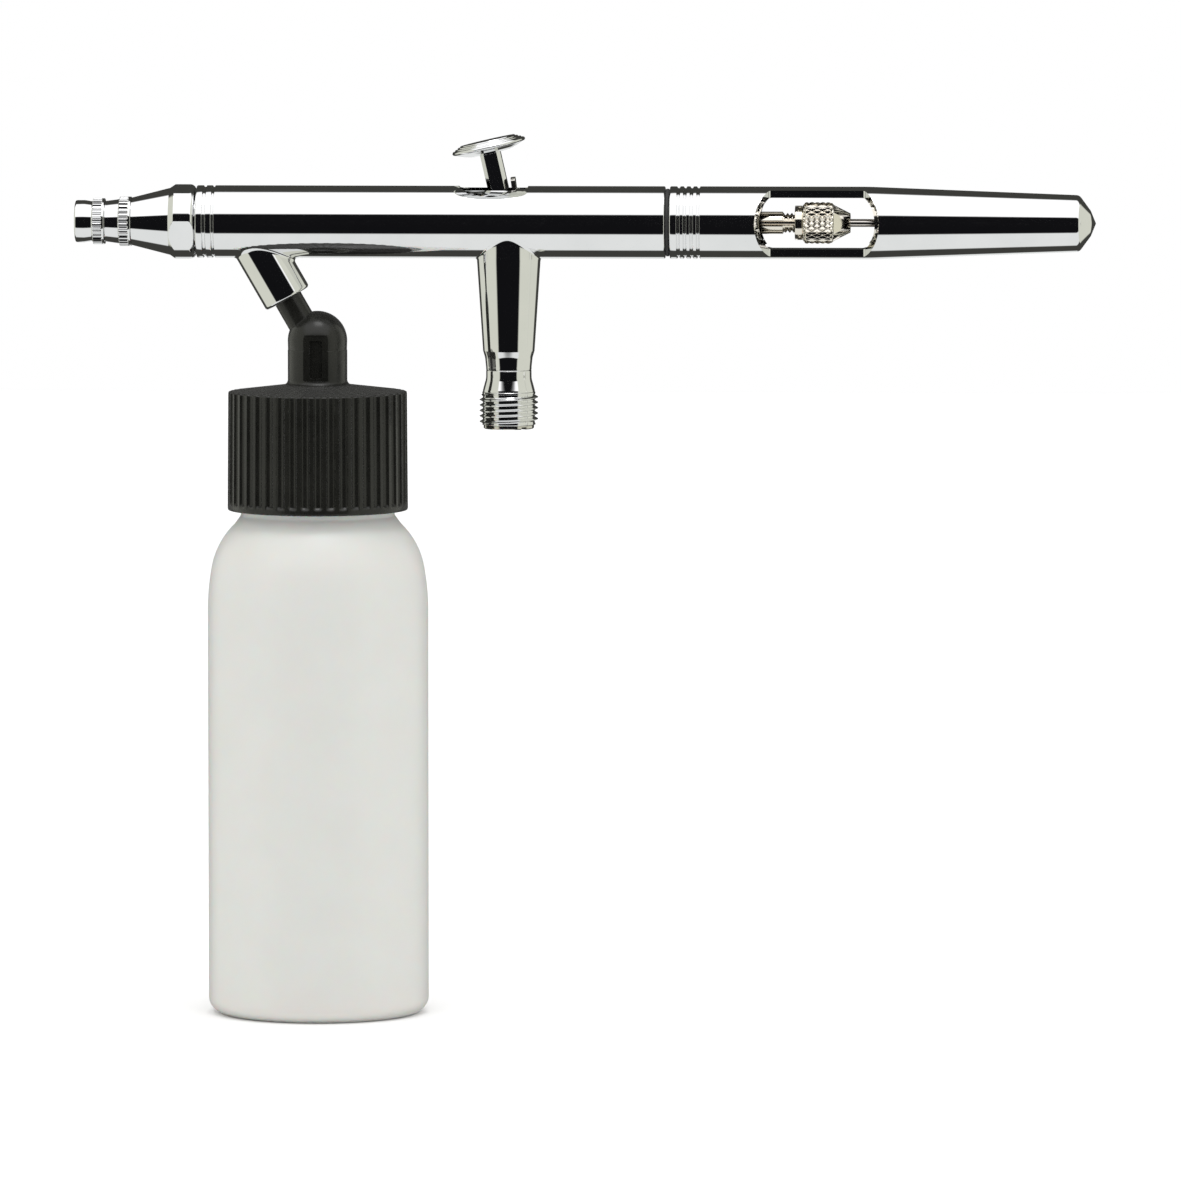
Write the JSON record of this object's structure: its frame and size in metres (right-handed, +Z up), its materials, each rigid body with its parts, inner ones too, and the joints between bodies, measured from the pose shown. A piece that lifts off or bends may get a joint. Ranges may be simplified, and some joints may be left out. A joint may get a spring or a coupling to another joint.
{
  "type": "airbrush gun",
  "caption": "Bottle-fed double-action airbrush: chrome barrel, finger trigger, air inlet below, windowed handle and a swivelling screw-on paint bottle.",
  "frame": {"origin": "on the air stem's axis, at the lower end of the air inlet thread", "axes": "+X along the barrel towards the handle, spray leaves towards -X, +Z up towards the trigger"},
  "size_m": [0.1697, 0.0368, 0.1468],
  "materials": {
    "chrome_plate": "mirror polished",
    "nickel_plate": "polished nickel",
    "warm_nickel": "turned, bright",
    "brass_turned": "turned",
    "needle_steel": "ground and polished",
    "spring_steel": "drawn wire",
    "white_ptfe": "waxy",
    "black_rubber": "soft",
    "black_plastic": "moulded, satin",
    "liner_foam": "closed-cell foam",
    "tube_plastic": "translucent",
    "bottle_plastic": "translucent, satin"
  },
  "bodies": {
    "gun_body": {"barrel": "chrome_plate", "air_stem": "chrome_plate", "paint_socket": "chrome_plate", "head": "chrome_plate", "head_seal": "white_ptfe", "fluid_nozzle": "nickel_plate", "needle_packing": "white_ptfe", "packing_screw": "brass_turned", "valve_body": "chrome_plate", "valve_spring": "spring_steel", "handle_ring": "black_rubber"},
    "nozzle_cap": {"nozzle_cap": "chrome_plate"},
    "needle_cap": {"needle_cap": "chrome_plate"},
    "spring_case": {"spring_case": "warm_nickel", "needle_spring": "spring_steel"},
    "needle_carriage": {"needle": "needle_steel", "chucking_guide": "warm_nickel"},
    "chuck_nut": {"chuck_nut": "warm_nickel"},
    "handle": {"handle": "chrome_plate"},
    "piston": {"valve_piston": "brass_turned", "trigger_pin": "needle_steel", "piston_seal": "black_rubber", "valve_rod": "brass_turned", "valve_seal": "black_rubber"},
    "trigger": {"trigger": "chrome_plate"},
    "aux_lever": {"aux_lever": "nickel_plate"},
    "guide_screw": {"valve_guide_screw": "nickel_plate"},
    "bottle_cap": {"bottle_cap": "black_plastic", "cap_liner": "liner_foam", "siphon_tube": "tube_plastic"},
    "bottle": {"bottle": "bottle_plastic"}
  },
  "joints": [
    {"name": "nozzle_cap_off", "type": "slide", "parent": "gun_body", "child": "nozzle_cap", "axis": [-1, 0, 0], "range_m": [0, 0.012]},
    {"name": "needle_cap_off", "type": "slide", "parent": "nozzle_cap", "child": "needle_cap", "axis": [-1, 0, 0], "range_m": [0, 0.01]},
    {"name": "spring_case_turn", "type": "hinge", "parent": "gun_body", "child": "spring_case", "pos_m": [0.03, 0, 0.0337], "axis": [1, 0, 0], "range_deg": [-360, 360]},
    {"name": "trigger_press", "type": "slide", "parent": "gun_body", "child": "piston", "axis": [0, 0, -1], "range_m": [0, 0.0016], "stiffness_N_per_m": 900, "springref_m": -0.0015, "deforming": ["valve_spring"]},
    {"name": "trigger_pull", "type": "hinge", "parent": "piston", "child": "trigger", "pos_m": [0.00035, 0, 0.0303], "axis": [0, 1, 0], "range_deg": [0, 14], "stiffness_Nm_per_rad": 0.0096, "springref_deg": -46.75},
    {"name": "aux_rock", "type": "hinge", "parent": "gun_body", "child": "aux_lever", "pos_m": [0.002, 0, 0.0313], "axis": [0, 1, 0], "range_deg": [0, 12.5]},
    {"name": "needle_draw", "type": "slide", "parent": "gun_body", "child": "needle_carriage", "axis": [1, 0, 0], "range_m": [0, 0.0012], "deforming": ["needle_spring"]},
    {"name": "chuck_nut_turn", "type": "hinge", "parent": "needle_carriage", "child": "chuck_nut", "pos_m": [0.05, 0, 0.0337], "axis": [1, 0, 0], "range_deg": [0, 720]},
    {"name": "handle_off", "type": "slide", "parent": "gun_body", "child": "handle", "axis": [1, 0, 0], "range_m": [0, 0.075]},
    {"name": "guide_screw_turn", "type": "hinge", "parent": "gun_body", "child": "guide_screw", "pos_m": [0, 0, 0], "axis": [0, 0, 1], "range_deg": [-360, 360]},
    {"name": "bottle_swivel", "type": "hinge", "parent": "gun_body", "child": "bottle_cap", "pos_m": [-0.0442, 0, 0.0337], "axis": [0.5, 0, -0.866], "range_deg": [-45, 45]},
    {"name": "bottle_off", "type": "slide", "parent": "bottle_cap", "child": "bottle", "axis": [0, 0, -1], "range_m": [0, 0.1]}
  ],
  "couplings": [
    {"joint": "needle_draw", "follows": "trigger_pull", "m_per_rad": 0.0049},
    {"joint": "aux_rock", "follows": "trigger_pull", "ratio": 0.892}
  ]
}
